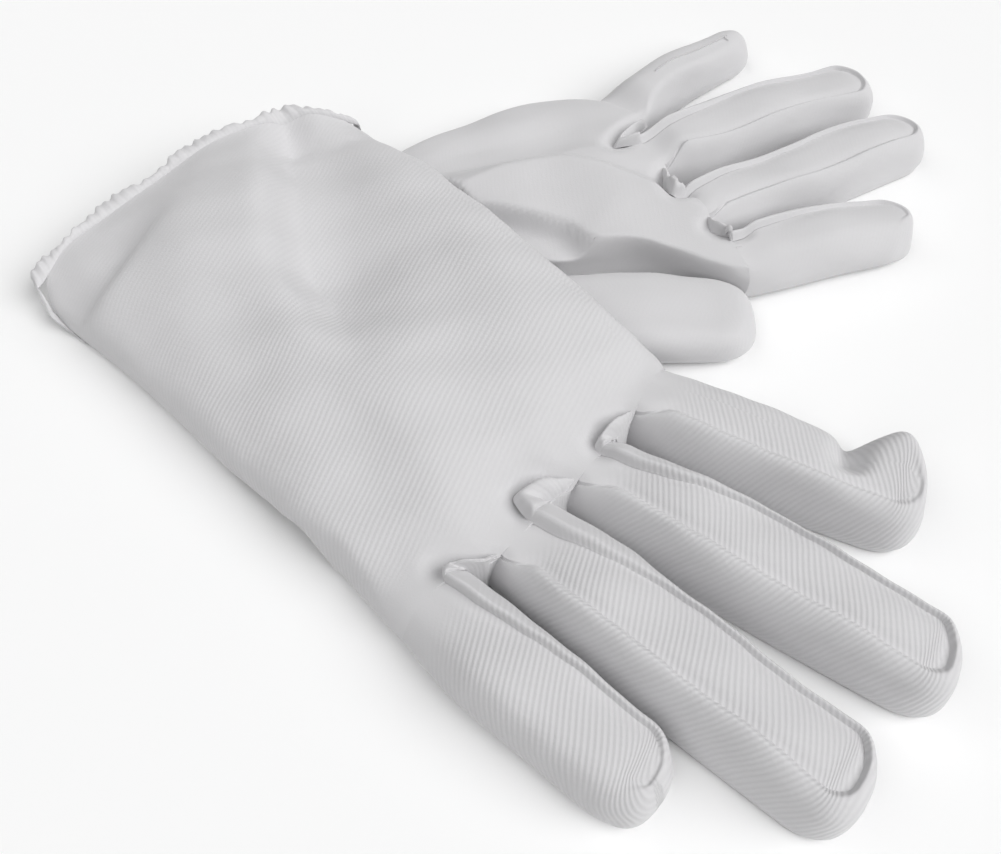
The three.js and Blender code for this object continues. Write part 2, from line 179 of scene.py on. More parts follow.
# Tucks in the crotches: reach back into the hand and spread over the far band, in millimetres
TUCKS = {
    "right": [(0.7, 5.5), (4.2, 7.5), (2.2, 6.8)],
    "left": [(4.5, 5), (3, 4.5), (2.5, 4.5)],
}
PUCKER = {"right": 0.4, "left": 0.1}

# A tuck's cloth from its foot on the hand inwards: share of the way in, of the crest and of the foot
TUCK_WAY = [0, 0.16, 0.42, 0.7, 0.9, 1, 1]
TUCK_CREST = [0, 1, 0.95, 0.5, 0, 0, 0]
TUCK_FOOT = [1, 1, 1, 0.94, 0.6, 0.25, 0]

# Valleys pressed into the cloth: way, depth, width on its left and right, height where it starts
VALLEYS = [
    ([(-57, 88), (-55, 76), (-50.9, 62), (-46, 40), (-38, 22), (-25, 2)], 8, 6, 24, 15),
    ([(-101, 22), (-97.6, 27.8), (-93, 35.4), (-88.8, 43.5), (-80, 56)], 4, 3, 14, 3),
    ([(-59, 92), (-57, 85), (-55, 79), (-53, 73)], 2.5, 2.5, 6, 13),
    ([(78, -5), (75.5, -10.5), (73, -16), (71.5, -21)], 4.5, 3, 3, 5),
]

# Pushes on the cloth: place, radius, how far it moves and the height above which it acts
PUSHES = [
    ((85, -16), 7, (2, 4.5, 4.5), 5),
    ((-76, 89), 7, (-1, 1.5, 1.5), 5),
    ((-117, 41), 11, (3.5, 0, 0), -5),
    ((-88, 68), 15, (1.6, -1.6, 0), 5),
]

# The fold on the far hand's back: its crest and its crisp lower edge, with their heights
FOLD_CREST = [(-16, 63.5, 12), (-8.1, 66.7, 15), (3.5, 70.4, 17), (17, 71.7, 18.5), (34.4, 65.5, 18),
              (47.2, 57.6, 16.5), (56.9, 50.9, 14.5), (66, 44.5, 12.5)]
FOLD_EDGE = [(-16, 62, 11.5), (-3.2, 59.8, 12.5), (14.9, 53.9, 13), (23, 47.6, 13), (36.5, 43.7, 12.5),
             (50.3, 40.2, 12), (66, 38, 11.5)]
FOLD_FOOT = 6.5
FOLD_BACK = 11
FOLD_HOLLOW = 6

# Waves that keep the cloth from lying even: length and height
WAVES = [(34, 0.35), (21, 0.25), (13, 0.16), (8, 0.08)]
WAVE_SEED = 7

# Each digit: its base across and along the hand, in shares, and its turn and bend in degrees
RIGHT_BASES = {
    "little": (-0.735, 0.015, 2.5, 2),
    "ring": (-0.22, 0.03, 4, 1.2),
    "middle": (0.295, 0.025, 9.6, 2),
    "index": (0.8, -0.012, 17, 2.6),
    "thumb": (0.52, -0.5, -22, 0),
}
LEFT_BASES = {
    "little": (-0.733, 0.043, -18, 7),
    "ring": (-0.244, 0.009, -1, 4.5),
    "middle": (0.319, -0.03, 1.5, 0.5),
    "index": (0.728, -0.026, 9, 4.4),
    "thumb": (0.48, -0.455, 30, 0),
}

# Outlines of each hand, across and along, in shares of the cuff's half width and the length
RIGHT_OUTLINE = {
    "little_side": [(-1.12, -1.12), (-1.03, -0.8), (-1, -0.53), (-0.975, -0.26)],
    "thumb_side": [(1.02, -0.97), (1.05, -0.73), (1.06, -0.48), (1.03, -0.23)],
    "hem": [(-0.8, -1.15), (-0.4, -1.16), (0.05, -1.15), (0.5, -1.1), (0.8, -1.05)],
}
LEFT_OUTLINE = {
    "little_side": [(-1, -1), (-1.1, -0.7), (-1.19, -0.4), (-1.16, -0.12)],
    "thumb_side": [(1, -1), (0.96, -0.8), (0.9, -0.62), (0.08, -0.49), (0.23, -0.35), (0.46, -0.19)],
    "hem": [(-0.5, -1.02), (0, -1.02), (0.5, -1.02)],
}
THUMB_OPENING = (2 / 6, 3 / 6)

# Puff of each back, and the right one's rise over the left glove, in shares of HAND_PUFF and
# STACK_RISE: rows from the hem to the knuckles and columns from the little side
RIGHT_PUFF = [
    [0.35, 0.7, 0.9, 1, 1.05, 1.05, 0.75],
    [0.55, 0.9, 1.1, 1.1, 1.05, 1.05, 0.8],
    [0.65, 0.9, 1, 0.95, 0.85, 0.95, 0.85],
    [0.7, 0.95, 1.05, 1, 0.9, 0.95, 0.85],
    [0.8, 1, 1.1, 1.1, 1.05, 1, 0.85],
    [0.95, 1.1, 1.1, 1.12, 1.12, 1.1, 0.95],
]
RIGHT_RISE = [
    [0, 0.1, 0.25, 0.45, 0.7, 0.8, 0.8],
    [0, 0.45, 0.95, 1.15, 1.2, 1.2, 1.1],
    [0, 0.45, 1, 1.2, 1.3, 1.3, 1.1],
    [0, 0.45, 1, 1.2, 1.3, 1.25, 1.1],
    [0, 0.25, 0.7, 0.9, 1, 1, 0.95],
    [0, 0, 0, 0, 0.05, 0.15, 0.25],
]
LEFT_PUFF = [
    [0.5, 0.55, 0.55, 0.55, 0.55, 0.55, 0.5],
    [0.5, 0.55, 0.6, 0.6, 0.6, 0.6, 0.5],
    [0.6, 0.75, 0.8, 0.9, 1.1, 1.3, 0.9],
    [0.6, 0.8, 0.8, 0.9, 1.4, 1.75, 1.2],
    [0.65, 0.85, 0.8, 1, 1.5, 1.8, 1.3],
    [0.75, 0.9, 0.95, 1, 1.2, 1.2, 1],
]

FINGERS = ["little", "ring", "middle", "index"]
QUIRKS = ["little_quirk", "ring_quirk", "middle_quirk"]

# Colours of the materials: lit threads and the shade between them
KNIT_COLOURS = (0.64, 0.635, 0.645), (0.57, 0.565, 0.575)
HEM_COLOURS = (0.66, 0.655, 0.665), (0.6, 0.595, 0.605)
FLOOR_COLOUR = (0.93, 0.93, 0.93)

# The stage in metres: the floor, soft lamps with their places and powers, and the camera
FLOOR_REACH = 2.0
FLOOR_DROP = 0.0002
LAMPS = [
    ("key", (0.6, -0.2, 0.6), 2.62),
    ("left", (-0.55, 0.15, 0.75), 0.8),
    ("front", (-0.35, -0.55, 0.7), 0.68),
    ("back", (0.55, 0.5, 0.5), 0.2),
]
LAMP_ANGLE = 50
AMBIENT = 0.04
CAMERA_PLACE = (0, -0.120463, 0.178594)
CAMERA_TILT = 34
CAMERA_LENS = 33.81
CAMERA_SENSOR = 36


def smooth(x, start, end):
    f = np.clip((np.asarray(x, float) - start) / (end - start), 0, 1)
    return f * f * (3 - 2 * f)


def weights(count, place):
    """Shares that evenly spaced points have in a smooth curve through them, for places 0 to 1."""
    x = np.clip(np.asarray(place, float), 0, 1) * (count - 1)
    i = np.minimum(x.astype(int), count - 2)
    f = x - i
    shares = (
        -0.5 * f**3 + f**2 - 0.5 * f,
        1.5 * f**3 - 2.5 * f**2 + 1,
        -1.5 * f**3 + 2 * f**2 + 0.5 * f,
        0.5 * f**3 - 0.5 * f**2,
    )
    points = np.eye(count)
    return sum(
        points[np.clip(i + k - 1, 0, count - 1)] * share[..., None] for k, share in enumerate(shares)
    )


def curve(points, place):
    return weights(len(points), place) @ np.array(points, float)


def table(rows, along, across):
    rows = np.array(rows, float)
    return np.einsum(
        "...i,...j,ij->...", weights(rows.shape[0], along), weights(rows.shape[1], across), rows
    )


class Glove:
    """One glove's place on the ground: across runs towards its thumb and along to its fingers."""

    def __init__(self, prefix, turn, place, side):
        self.prefix, self.turn, self.side = prefix, turn, side
        self.body = f"{prefix}_glove"
        self.along = np.array([cos(radians(turn)), sin(radians(turn))])
        self.across = np.array([-self.along[1], self.along[0]]) * side
        self.place = np.array(place, float)

    def plan(self, across, along):
        across, along = np.asarray(across, float), np.asarray(along, float)
        return self.place + across[..., None] * self.across + along[..., None] * self.along


class Digit:
    """One finger or thumb: s runs from its base to its tip, x across it and z up."""

    def __init__(self, glove, name, base, length, width, height, bottom, tip):
        across, along, self.turn, self.bend = base
        self.glove, self.name, self.body = glove, name, f"{glove.prefix}_{name}"
        self.base = glove.plan(across * CUFF_HALF_WIDTH, along * HAND_LENGTH)
        self.length, self.width, self.height = length, width, height
        self.bottom, self.tip = bottom, tip
        self.outer = {"little": -1, "index": 1}.get(name)
        self.is_plain = name == "thumb" or self.body == "left_little"
        self.tip_inset = ROLL_INSET if self.is_plain and not bottom else TIP_INSET
        self.spread = FAR_INSET
        self.dents = lambda place: 0
        self.neck = LEFT_LITTLE_NECK_SHARE if self.body == "left_little" else NECK_SHARE
        self.top_at_base = None

    def heading(self, s, times=1):
        turned = self.turn + times * self.bend * np.asarray(s, float) / self.length
        return np.radians(self.glove.turn + self.glove.side * turned)

    def half_width(self, s):
        s = np.asarray(s, float)
        reach = np.maximum(s - self.length + self.tip, 0) / self.tip
        cap = np.maximum(1 - reach**CAP_POWER, 0) ** (1 / CAP_POWER)
        neck = np.maximum(1 - s / (NECK_LENGTH_SHARE * self.length), 0)
        taper = 1 - TAPER_SHARE * (s / self.length) ** 2 - self.neck * neck**2
        return self.width / 2 * taper * cap

    def point(self, s, x, z):
        s, x, z = np.broadcast_arrays(s, x, z)
        middle, side = self.heading(s), self.heading(s, 2)
        plan_x = self.base[0] + s * np.cos(middle) - x * np.sin(side) * self.glove.side
        plan_y = self.base[1] + s * np.sin(middle) + x * np.cos(side) * self.glove.side
        return np.stack([plan_x, plan_y, z], -1)

    def top(self, s, a):
        """Height of the upper panel at s, with a running from -1 to 1 across the finger."""
        s, a = np.broadcast_arrays(np.asarray(s, float), np.asarray(a, float))
        share = 1 + (TIP_HEIGHT_SHARE - 1) * (s / self.length) ** 2
        own = self.height * share
        if self.name != "thumb":
            own = own + FINGER_CROWN * (1 - a**2)
        if self.top_at_base is not None:
            far = smooth(s, 0, KNUCKLE_REACH[self.glove.prefix])
            own = own * far + self.top_at_base(a) * (1 - far)
        place = self.point(s, a * self.half_width(s), 0)[..., :2]
        return np.minimum(self.bottom + own - self.dents(place), self.glove.ceiling(place))

    def inset(self, s, side):
        """How far in the upper seam runs, wide from the tuck on the side away from the viewer."""
        if self.name == "thumb":
            return (SIDE_INSET if self.bottom else ROLL_INSET) + 0 * s
        if side == self.outer:
            return ROLL_INSET + 0 * s
        if side == -self.glove.side:
            return NECK_INSET + (NEAR_INSET[self.glove.prefix] - NECK_INSET) * smooth(s, 0, CROTCH_REACH)
        return self.spread + (FAR_INSET - self.spread) * smooth(s, 3, BAND_REACH)

    def seam(self, s, side):
        """Where the upper seam runs beside station s: along the digit and across it."""
        s = np.asarray(s, float)
        near_tip = smooth(s, self.length - self.tip, self.length)
        body = self.half_width(np.minimum(s, self.length - self.tip))
        width = self.half_width(s)
        inset = self.inset(s, side) * width / body
        return s - self.tip_inset * near_tip, side * (width - inset), inset


def outside(outline, place):
    """Distance of places from an outline, negative inside it."""
    ends, starts = outline, np.roll(outline, 1, axis=0)
    nearest = np.full(place.shape[:-1], np.inf)
    inside = np.zeros(place.shape[:-1], bool)
    for start, end in zip(starts, ends):
        edge, reach = end - start, place - start
        share = np.clip(reach @ edge / max(edge @ edge, 1e-9), 0, 1)
        nearest = np.minimum(nearest, np.linalg.norm(reach - share[..., None] * edge, axis=-1))
        if start[1] != end[1]:
            level = (place[..., 1] - start[1]) / edge[1]
            crosses = (start[1] > place[..., 1]) != (end[1] > place[..., 1])
            inside ^= crosses & (place[..., 0] < start[0] + edge[0] * level)
    return np.where(inside, -nearest, nearest)


def beside(path, place):
    """Distance to the left of a path of places and heights, negative on its right, and the height."""
    path = curve(path, np.linspace(0, 1, 40))
    nearest, signed, height = (np.full(place.shape[:-1], v) for v in (np.inf, 0.0, 0.0))
    for start, end in zip(path[:-1], path[1:]):
        edge, way = end[:2] - start[:2], place - start[:2]
        share = np.clip(way @ edge / (edge @ edge), 0, 1)
        apart = np.linalg.norm(way - share[..., None] * edge, axis=-1)
        is_nearer = apart < nearest
        sign = np.where(edge[0] * way[..., 1] >= edge[1] * way[..., 0], 1, -1)
        signed = np.where(is_nearer, apart * sign, signed)
        height = np.where(is_nearer, start[2] + share * (end[2] - start[2]), height)
        nearest = np.minimum(apart, nearest)
    return signed, height


def folded(place, low):
    """Height of the far hand's back with its fold: a leaf between a crest and a crisp edge."""
    past_edge, edge_height = beside(FOLD_EDGE, place)
    past_crest, crest_height = beside(FOLD_CREST, place)
    share = np.clip(past_edge / np.maximum(past_edge - past_crest, 0.1), 0, 1)
    leaf = edge_height + (crest_height - edge_height) * share
    behind = leaf + (np.minimum(low, FOLD_BACK) - leaf) * smooth(past_crest, -1, 9)
    under = FOLD_FOOT + (edge_height - FOLD_FOOT) * np.clip(1 + past_edge / FOLD_HOLLOW, 0, 1) ** 3
    return np.where(past_edge > 0, behind, under)


def fade(distance):
    return 1 - smooth(distance, RAMP_MARGIN, RAMP_MARGIN + RAMP_LENGTH)


class Hand:
    """The hand between hem, side seams and knuckles: c runs across it and t from hem to knuckles."""

    def __init__(self, glove, outline, digits, bottom, top):
        self.glove, self.bottom, self.raw_top = glove, bottom, top
        self.corners = np.array([
            digits[name].point(0, side * digits[name].half_width(0), 0)[:2]
            - BASE_GAP * np.array([np.cos(digits[name].heading(0)), np.sin(digits[name].heading(0))])
            for name in FINGERS
            for side in (-1, 1)
        ])
        steps = np.linalg.norm(np.diff(self.corners, axis=0), axis=1)
        self.knots = np.concatenate([[0], np.cumsum(steps)]) / steps.sum()
        self.tucks = [self.tuck(k, *sizes) for k, sizes in enumerate(TUCKS[glove.prefix])]
        for k, (reach, spread) in enumerate(TUCKS[glove.prefix]):
            digits[FINGERS[k if glove.side > 0 else k + 1]].spread = spread
        for digit in digits.values():
            digit.dents = self.dents if digit.name in FINGERS else digit.dents
        edges = {k: glove.plan(*(np.array(v).T * [[CUFF_HALF_WIDTH], [HAND_LENGTH]]))
                 for k, v in outline.items()}
        self.little = np.vstack([edges["little_side"], self.corners[:1]])
        self.thumb = np.vstack([edges["thumb_side"], self.corners[-1:]])
        self.hem = np.vstack([edges["little_side"][:1], edges["hem"], edges["thumb_side"][:1]])

    def tuck(self, k, reach, spread):
        """The foot of the tuck round a crotch: from the near wall's corner to the far band's seam."""
        ends = self.corners[2 * k + 2], self.corners[2 * k + 1]
        wall, band = ends if self.glove.side > 0 else ends[::-1]
        back = -self.glove.along * reach
        way = (band - wall) / np.linalg.norm(band - wall)
        seam = band + way * spread
        middle = (wall + band) / 2
        return curve([wall, wall + back * 0.8 + way, middle + back * 1.1 + way * 2,
                      seam + back * 0.85 - way * 1.2, seam], np.linspace(0, 1, 33))

    def knuckles(self, c):
        return np.stack([np.interp(c, self.knots, self.corners[:, k]) for k in (0, 1)], -1)

    def plan(self, c, t):
        c, t = (np.clip(v, -0.2, 1.2) for v in np.broadcast_arrays(np.asarray(c, float), t))
        spread = 0.07 * (1 - smooth(t, 0.75, 1))
        knuckles = sum(self.knuckles(np.clip(c + k * spread, 0, 1)) for k in (-1, 0, 1)) / 3
        cc, tt = c[..., None], t[..., None]
        across = curve(self.little, t) * (1 - cc) + curve(self.thumb, t) * cc
        along = curve(self.hem, c) * (1 - tt) + knuckles * tt
        lower = self.hem[0] * (1 - cc) + self.hem[-1] * cc
        upper = self.corners[0] * (1 - cc) + self.corners[-1] * cc
        return across + along - lower * (1 - tt) - upper * tt

    def width(self, t):
        return np.linalg.norm(curve(self.little, t) - curve(self.thumb, t), axis=-1)

    def dents(self, place):
        """How far the tucks press the cloth round them down."""
        pressed = [1 - smooth(outside(path, place), -1, TUCK_MARGIN) for path in self.tucks]
        return TUCK_DENT * np.maximum.reduce(pressed)

    def smooth_top(self, c, t):
        settled = (1 - t) * smooth(1 - t, 0, 0.14)
        return self.raw_top(self.plan(c, t), c, np.where(t > 0.86, 1 - settled, t))

    def top(self, c, t):
        return self.smooth_top(c, t) - self.dents(self.plan(c, t))

    def height(self, place):
        """Height of the back at places on the ground."""
        c, t = np.meshgrid(np.linspace(0, 1, 140), np.linspace(0.6, 1, 90))
        known, heights = self.plan(c, t).reshape(-1, 2), self.top(c, t).ravel()
        apart = np.linalg.norm(known[None] - place.reshape(-1, 1, 2), axis=-1)
        return heights[apart.argmin(1)].reshape(place.shape[:-1])

    def point(self, c, t, share):
        """A point between the palm, share 0, and the back, share 1."""
        c, t, share = np.broadcast_arrays(c, t, share)
        if self.glove.side > 0:
            t = t + CORNER_CUT * (1 - share) * (1 - smooth(c, 0, 0.3)) * (1 - t) ** 2
        place = self.plan(c, t)
        low = self.bottom(place)
        z = low + (self.top(c, t) - low) * share
        return np.concatenate([place, z[..., None]], -1)


def valley(points, path, depth, left, right, reach):
    """How far a pressed fold lowers the cloth above a height: steep on one side, soft on the other."""
    path, place = curve(path, np.linspace(0, 1, 24)), points[..., :2]
    nearest, drop = np.full(place.shape[:-1], np.inf), np.zeros(place.shape[:-1])
    for k, (start, end) in enumerate(zip(path[:-1], path[1:])):
        edge, way = end - start, place - start
        share = np.clip(way @ edge / (edge @ edge), 0, 1)
        apart = np.linalg.norm(way - share[..., None] * edge, axis=-1)
        is_left = edge[0] * way[..., 1] < edge[1] * way[..., 0]
        along = (k + share) / (len(path) - 1)
        shape = np.exp(-((apart / np.where(is_left, left, right)) ** 2))
        shape *= smooth(along, 0, 0.25) * smooth(1 - along, 0, 0.3)
        drop = np.where(apart < nearest, shape, drop)
        nearest = np.minimum(apart, nearest)
    return depth * drop * smooth(points[..., 2], reach - 2, reach + 2)


def wrinkle(points):
    """Folds, dents and unevenness of the cloth, the same for every piece that passes a place."""
    rng = np.random.default_rng(WAVE_SEED)
    moved = points.copy()
    for fold in VALLEYS:
        moved[..., 2] -= valley(points, *fold)
    for place, radius, push, reach in PUSHES:
        apart = np.linalg.norm(points[..., :2] - place, axis=-1) / radius
        share = np.exp(-(apart**2)) * smooth(points[..., 2], reach - 3, reach + 3)
        moved += share[..., None] * push
    loose = smooth(points[..., 2], 0.5, 7)
    for length, height in WAVES:
        for axis in (0, 1, 2):
            way = rng.normal(size=3)
            way /= np.linalg.norm(way)
            phase = rng.uniform(0, 2 * np.pi)
            wave = np.sin(points @ way * 2 * np.pi / length + phase)
            moved[..., axis] += height * wave * loose
    return moved


def normals(points):
    rows = np.gradient(points, axis=0)
    columns = np.gradient(points, axis=1)
    normal = np.cross(rows, columns)
    size = np.linalg.norm(normal, axis=-1, keepdims=True)
    return normal / np.maximum(size, 1e-9)


def lengths(points, axis):
    """Lengths along the rows of a grid, axis 0, or across it, axis 1, from its first edge."""
    first = points[:1] if axis == 0 else points[:, :1]
    steps = np.linalg.norm(np.diff(points, axis=axis, prepend=first), axis=-1)
    return np.cumsum(steps, axis=axis)


def fill_mesh(mesh, layers, normal):
    """Fills a mesh with a cloth's outer layer and, if it has one, its inner layer and their rim."""
    rows, columns = normal.shape[:2]
    size = rows * columns
    vertices = np.concatenate([layer.reshape(-1, 3) for layer in layers])
    at = np.arange(size).reshape(rows, columns)
    corners = [at[:-1, :-1], at[1:, :-1], at[1:, 1:], at[:-1, 1:]]
    faces = np.stack([corner.ravel() for corner in corners], -1)
    first, second = (vertices[faces[:, k]] - vertices[faces[:, 0]] for k in (1, 2))
    is_turned = np.sum(np.cross(first, second) * normal.reshape(-1, 3)[faces[:, 0]]) < 0
    if is_turned:
        faces = faces[:, ::-1]
    smooth_count = len(layers) * len(faces)
    rims = None
    if len(layers) > 1:
        rim = np.concatenate([at[0, ::-1], at[:, 0], at[-1, :], at[::-1, -1]])
        rim = rim[::-1] if is_turned else rim
        edges = np.stack([rim[:-1], rim[1:]], -1)
        edges = edges[edges[:, 0] != edges[:, 1]]
        sides = np.concatenate([edges[:, ::-1], edges + size], -1)
        faces = np.concatenate([faces, faces[:, ::-1] + size, sides])
        rims = np.concatenate([edges, edges + size])
    mesh.from_pydata((vertices / 1000 + OFFSET).tolist(), [], faces.tolist())
    mesh.polygons.foreach_set("use_smooth", np.arange(len(faces)) < smooth_count)
    if rims is not None:
        mark_sharp(mesh, rims)


def mark_sharp(mesh, rims):
    """Keeps the rim out of the smooth shading of the layers that it joins."""
    pairs = np.empty(2 * len(mesh.edges), int)
    mesh.edges.foreach_get("vertices", pairs)
    keys = [len(mesh.vertices), 1]
    known, sharp = (np.sort(ends, 1) @ keys for ends in (pairs.reshape(-1, 2), rims))
    mesh.edges.foreach_set("use_edge_sharp", np.isin(known, sharp))


def add_knit(mesh, along, across, rib_turn, ribs, count):
    """Gives the points of a mesh of count layers their place in the knit and their ribs' strength."""
    turn = np.radians(rib_turn)
    place = [
        across * np.cos(turn) - along * np.sin(turn),
        across * np.sin(turn) + along * np.cos(turn),
    ]
    uv = np.tile(np.stack(place, -1).reshape(-1, 2), (count, 1))
    loops = np.empty(len(mesh.loops), int)
    mesh.loops.foreach_get("vertex_index", loops)
    mesh.uv_layers.new(name="knit").data.foreach_set("uv", uv[loops].ravel())
    strength = mesh.attributes.new("ribs", "FLOAT", "POINT")
    strength.data.foreach_set("value", np.tile(ribs.ravel(), count).astype(np.float32))


def declare_sheet(outer, along, across):
    """Works out the flat size of a cloth from the mean length and width of its grid, and its area;
    nothing uses them.
    """
    width, length = (max(v.mean() / 1000, LEAST_FLAT) for v in (across[:, -1], along[-1]))
    steps = np.cross(np.diff(outer, axis=0)[:, :-1], np.diff(outer, axis=1)[:-1])
    area = np.linalg.norm(steps, axis=-1).sum() / 1e6
    area = min(max(area, LEAST_AREA_SHARE * width * length), width * length)


def piece(name, points, inside, slot, course=None, rib_turn=0, wall=CLOTH, ribs=1.0):
    """Turns a grid of points, rows along the piece and columns across it, into a cloth."""
    outer = wrinkle(points)
    normal = normals(outer)
    if np.sum(normal * (outer - np.asarray(inside, float))) < 0:
        normal = -normal
    outer[..., 2] = np.maximum(outer[..., 2], LOWEST)
    layers = [outer, outer - wall * normal] if wall else [outer]
    for layer in layers:
        layer[..., 2] = np.maximum(layer[..., 2], LOWEST)
    mesh = bpy.data.meshes.new(name)
    fill_mesh(mesh, layers, normal)
    along, across = lengths(outer, 0), lengths(outer, 1)
    ribs = np.broadcast_to(ribs, across.shape) * (LEFT_RIB_SHARE if name.startswith("left") else 1)
    course = along.mean(1, keepdims=True) if course is None else course
    add_knit(mesh, course + 0 * across, across, rib_turn, ribs, len(layers))
    made = bpy.data.objects.new(name, mesh)
    bpy.context.scene.collection.objects.link(made)
    made.data.materials.append(MATERIALS[slot])
    declare_sheet(outer, along, across)
    return made


def groove(digit, distance):
    """Depth of a seam's groove at a distance from the seam."""
    return SEAM_DEPTH[digit.glove.prefix] * np.exp(-((distance / SEAM_REACH) ** 2))


def open_tip(digit, s):
    """Seams fade out at the tip of a digit whose outer side has none."""
    return 1 if digit.outer is None else smooth(digit.length - s, 0, 7)


def stations(digit, step=DIGIT_STEP):
    """Places along a digit, closer together round its tip."""
    start = 0 if digit.name == "thumb" else -BASE_GAP - OVERLAP
    straight = np.linspace(start, digit.length - digit.tip, int(digit.length / step))[:-1]
    cap = np.sin(np.linspace(0, np.pi / 2, CAP_ROWS)) * digit.tip
    return np.concatenate([straight, digit.length - digit.tip + np.minimum(cap, digit.tip - 0.02)])


def has_seam(digit, side):
    return not digit.is_plain and side != digit.outer


def finger_panel(digit, is_back):
    """The upper or lower panel of a digit, rows from the base to the tip."""
    s = stations(digit)[:, None]
    a = np.linspace(-1, 1, PANEL_COLUMNS)[None, :]
    low, high = digit.seam(s, -1), digit.seam(s, 1)
    x = np.where(a < 0, -a * low[1], a * high[1])
    edges = [np.where(has_seam(digit, side), np.abs(seam[1] - x), NO_SEAM)
             for side, seam in ((-1, low), (1, high))]
    tip = np.maximum(digit.length - TIP_INSET - low[0], 0)
    if digit.is_plain or digit.outer:
        tip = NO_SEAM
    edge = np.minimum(np.minimum(*edges), tip)
    if is_back:
        share = x / np.maximum(digit.half_width(low[0]), 1e-6)
        z = digit.top(low[0], share) - groove(digit, edge) * open_tip(digit, s)
        z = z - OVERLAP_DROP * (low[0] < -BASE_GAP)
    else:
        z = digit.bottom + PALM_RISE + 0 * edge
    return digit.point(low[0] + 0 * a, x, z)


def side_wall(digit, side, s, down):
    """The wall on one side of a digit: a row for each station, running down by the shares."""
    place, x, inset = digit.seam(s, side)
    is_near, is_sewn = side == -digit.glove.side, has_seam(digit, side)
    own = curve(SLOPED_WALL if is_near else STEEP_WALL, down)
    if not is_sewn:
        own = curve(ROLLED_WALL, down)
    near_tip = smooth(s, digit.length - digit.tip, digit.length)[:, None] * (not digit.is_plain)
    fading = np.reshape(open_tip(digit, s), (-1, 1))
    end = near_tip[..., None]
    shape = own[None] * (1 - end) + curve(END_WALL, down)[None] * end
    out, rise = shape[..., 0], shape[..., 1]
    far = place[:, None] + (s - place)[:, None] * out
    across = x[:, None] + side * inset[:, None] * out
    if is_sewn:
        share, station = x[:, None], place[:, None]
        lip = LIP_HEIGHT + (0 if is_near else FAR_LIP) * (1 - smooth(s, 0, LIP_REACH))[:, None]
        dip = groove(digit, down * WALL_DROP)[None]
    else:
        share, station = across, far
        lip = near_tip * (0 if digit.outer else TIP_LIP)
        dip = groove(digit, down * WALL_DROP)[None] * near_tip * (not digit.outer)
    top = digit.top(station, np.clip(share / np.maximum(digit.half_width(far), 1e-6), -1, 1))
    lip = lip * np.exp(-(((down - LIP_PLACE) / LIP_WIDTH) ** 2))[None] * fading
    if is_near and is_sewn:
        start = 1 - smooth(s, 0, CROTCH_REACH)[:, None]
        lip = lip - NECK_DROP * start * (smooth(down, 0, 0.2) * (1 - smooth(down, 0.5, 1)))[None]
    foot = digit.bottom + PALM_RISE
    z = foot + (top - foot) * rise + lip - dip * fading
    return digit.point(far, across, np.maximum(z, foot))


def finger_side(digit):
    """The wall round a digit, rows along one side, round the tip and back along the other."""
    s = stations(digit)
    down = np.linspace(0, 1, WALL_COLUMNS)
    sides = [side_wall(digit, side, s, down) for side in (-1, 1)]
    return np.concatenate([sides[0], sides[1][::-1]])


def ride(made, digit):
    """Thumbs move as a whole with their own body; a finger's cloth only has its place baked into its
    mesh.
    """
    if digit.name == "thumb":
        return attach(made, digit.body)
    way = np.array([np.cos(digit.heading(0)), np.sin(digit.heading(0)), 0])
    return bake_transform(made)


def make_digit(digit):
    middle = digit.point(digit.length * 0.5, 0, digit.bottom + digit.height / 2)
    start = (digit.base - digit.glove.place) @ digit.glove.along
    s = stations(digit)
    for name, points, turn in (
        ("back", finger_panel(digit, True), FINGER_BACK_TURN),
        ("palm", finger_panel(digit, False), RIB_TURN),
        ("fourchette", finger_side(digit), FINGER_WALL_TURN),
    ):
        node = f"{digit.body}_{name}"
        course = s
        base = np.linspace(0, 1, len(points))[:, None] * digit.length
        if name == "fourchette":
            course = np.concatenate([s, s[::-1]])
            base = np.minimum(base, base[::-1]) * 2
            if digit.outer == -1:
                is_outer = np.arange(len(points)) < len(s)
                turn = np.where(is_outer, -FINGER_BACK_TURN, turn)[:, None]
        ribs = DIGIT_RIBS * (1 if digit.name == "thumb" else smooth(base, 2, 14))
        course = start + course[:, None]
        made = piece(f"{node}_cloth", points, middle, "knit", course, turn, ribs=ribs)
        ride(made, digit)
        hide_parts(node)


def hand_rows(places=(0, 1)):
    start, end = places
    return np.linspace(start, end, max(int((end - start) * HAND_LENGTH / HAND_STEP), 4))[:, None]


def make_hand_piece(hand, name, points, t, turn):
    """A panel or rolled side of the hand, whose ribs grow from the hem and fade at the knuckles."""
    glove = hand.glove
    middle = np.append(hand.plan(0.5, 0.5), 6)
    ribs = (0.25 + 0.3 * smooth(t, 0.15, 0.55)) * (1 - smooth(t, 0.85, 0.97))
    course = (points[..., :2] - glove.place) @ glove.along
    node = f"{glove.prefix}_{name}"
    made = piece(f"{node}_cloth", points, middle, "knit", course, turn, ribs=ribs)
    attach(made, glove.body)
    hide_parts(node)


